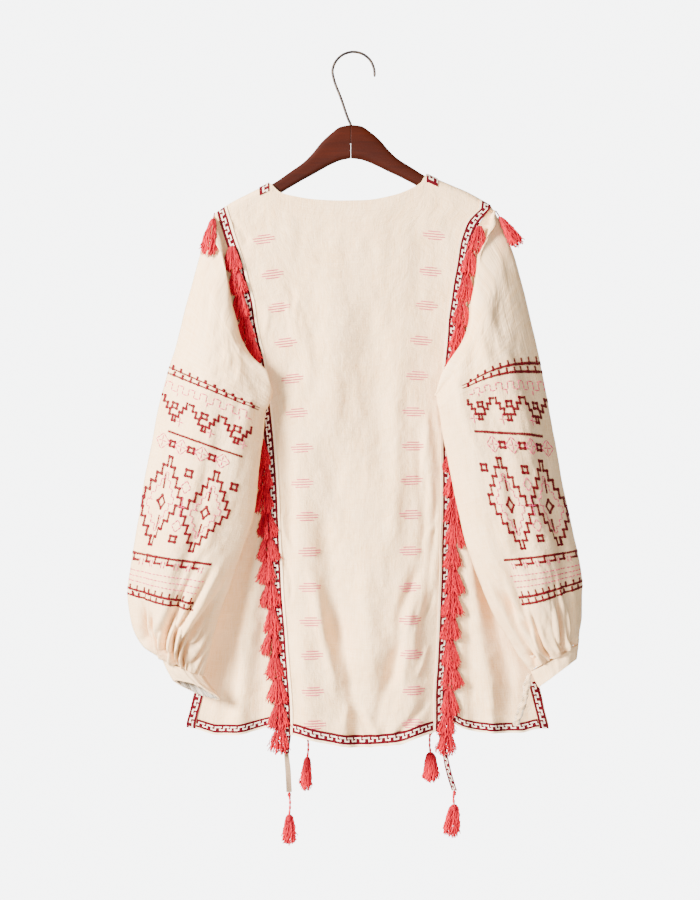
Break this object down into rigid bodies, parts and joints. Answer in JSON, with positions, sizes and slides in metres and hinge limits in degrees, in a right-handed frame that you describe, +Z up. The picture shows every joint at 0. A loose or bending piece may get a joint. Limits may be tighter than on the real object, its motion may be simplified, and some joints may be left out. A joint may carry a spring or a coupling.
{
  "type": "embroidered tunic on a wooden hanger",
  "caption": "Loose cotton tunic with balloon sleeves, key-pattern ribbons and hanging tassels, on a gull-wing wooden hanger with a wire hook.",
  "frame": {"origin": "the inside top of the hanger's hook, where it bears on a rail or peg", "axes": "+Z up; the garment's back faces -Y and its front +Y; +X to the right seen from the back"},
  "size_m": [0.587, 0.09, 1.0287],
  "materials": {
    "tunic_cloth": "matte off-white handwoven cotton with a slight slub",
    "key_ribbon": "matte woven ribbon, dark red key pattern on off-white",
    "tassel_cotton": "matte coral red cotton thread",
    "hanger_wood": "satin varnished reddish-brown wood",
    "hook_wire": "dark bronze wire, slightly glossy"
  },
  "bodies": {
    "root": {"back_panel": "tunic_cloth", "cuff_left": "tunic_cloth", "cuff_right": "tunic_cloth", "cuff_slit_right": "tunic_cloth", "end_tassel_back_left": "tassel_cotton", "end_tassel_back_right": "tassel_cotton", "end_tassel_front_left": "tassel_cotton", "end_tassel_front_right": "tassel_cotton", "front_panel": "tunic_cloth", "gore_back_left": "tunic_cloth", "gore_back_right": "tunic_cloth", "gore_front_left": "tunic_cloth", "gore_front_right": "tunic_cloth", "gore_ribbon_back_left": "key_ribbon", "gore_ribbon_back_right": "key_ribbon", "gore_ribbon_front_left": "key_ribbon", "gore_ribbon_front_right": "key_ribbon", "hanger_arm_left": "hanger_wood", "hanger_arm_right": "hanger_wood", "hanger_hook": "hook_wire", "hem_ribbon_back": "key_ribbon", "hem_ribbon_front": "key_ribbon", "neck_ribbon_front": "key_ribbon", "seam_ribbon_back_left": "key_ribbon", "seam_ribbon_back_right": "key_ribbon", "seam_ribbon_front_left": "key_ribbon", "seam_ribbon_front_right": "key_ribbon", "sleeve_left": "tunic_cloth", "sleeve_right": "tunic_cloth", "tail_ribbon_left": "key_ribbon", "tail_ribbon_right": "key_ribbon", "tassel_trim_back_left": "tassel_cotton", "tassel_trim_back_right": "tassel_cotton", "tassel_trim_front_left": "tassel_cotton", "tassel_trim_front_right": "tassel_cotton", "vent_ribbon_back_left": "key_ribbon", "vent_ribbon_back_right": "key_ribbon", "vent_ribbon_front_left": "key_ribbon", "vent_ribbon_front_right": "key_ribbon"}
  },
  "joints": []
}
